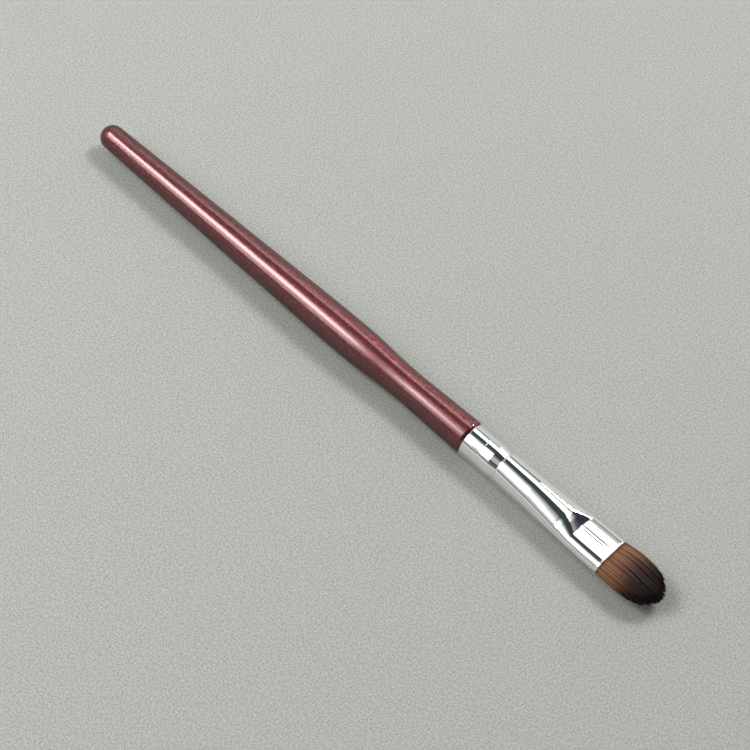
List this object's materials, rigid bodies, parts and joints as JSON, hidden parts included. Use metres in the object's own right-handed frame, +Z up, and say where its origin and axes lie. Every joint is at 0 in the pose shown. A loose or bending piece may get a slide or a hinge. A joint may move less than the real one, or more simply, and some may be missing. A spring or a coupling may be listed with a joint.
{
  "type": "eyeshadow brush",
  "caption": "Slim eyeshadow brush: tapered lacquered handle with a belly, crimped plated ferrule pressed flat at the mouth, and a flat round-tipped tuft of soft filaments that bends.",
  "frame": {"origin": "on the table under the middle of the brush's length, below its axis, with the belly of the handle touching the table", "axes": "+X along the brush from the butt of the handle to the tip of the tuft, +Y across the flats of the ferrule, +Z up and square to the flats"},
  "size_m": [0.155, 0.0104, 0.0082],
  "materials": {
    "handle_wood": "matte",
    "pearl_lacquer": "gloss",
    "glue": "satin",
    "plated_metal": "polished",
    "resin": "gloss",
    "thread": "matte",
    "filament": "satin"
  },
  "bodies": {
    "handle_and_ferrule": {"handle_core": "handle_wood", "handle_lacquer": "pearl_lacquer", "handle_adhesive": "glue", "ferrule": "plated_metal", "root_resin": "resin", "root_thread": "thread", "bristle_roots": "filament"},
    "tuft": {"bristle_tuft": "filament"}
  },
  "joints": [
    {"name": "tuft_bend", "type": "hinge", "parent": "handle_and_ferrule", "child": "tuft", "pos_m": [0.0655, 0, 0.00409], "axis": [0, 1, 0], "range_deg": [-30, 30], "stiffness_Nm_per_rad": 0.006}
  ]
}
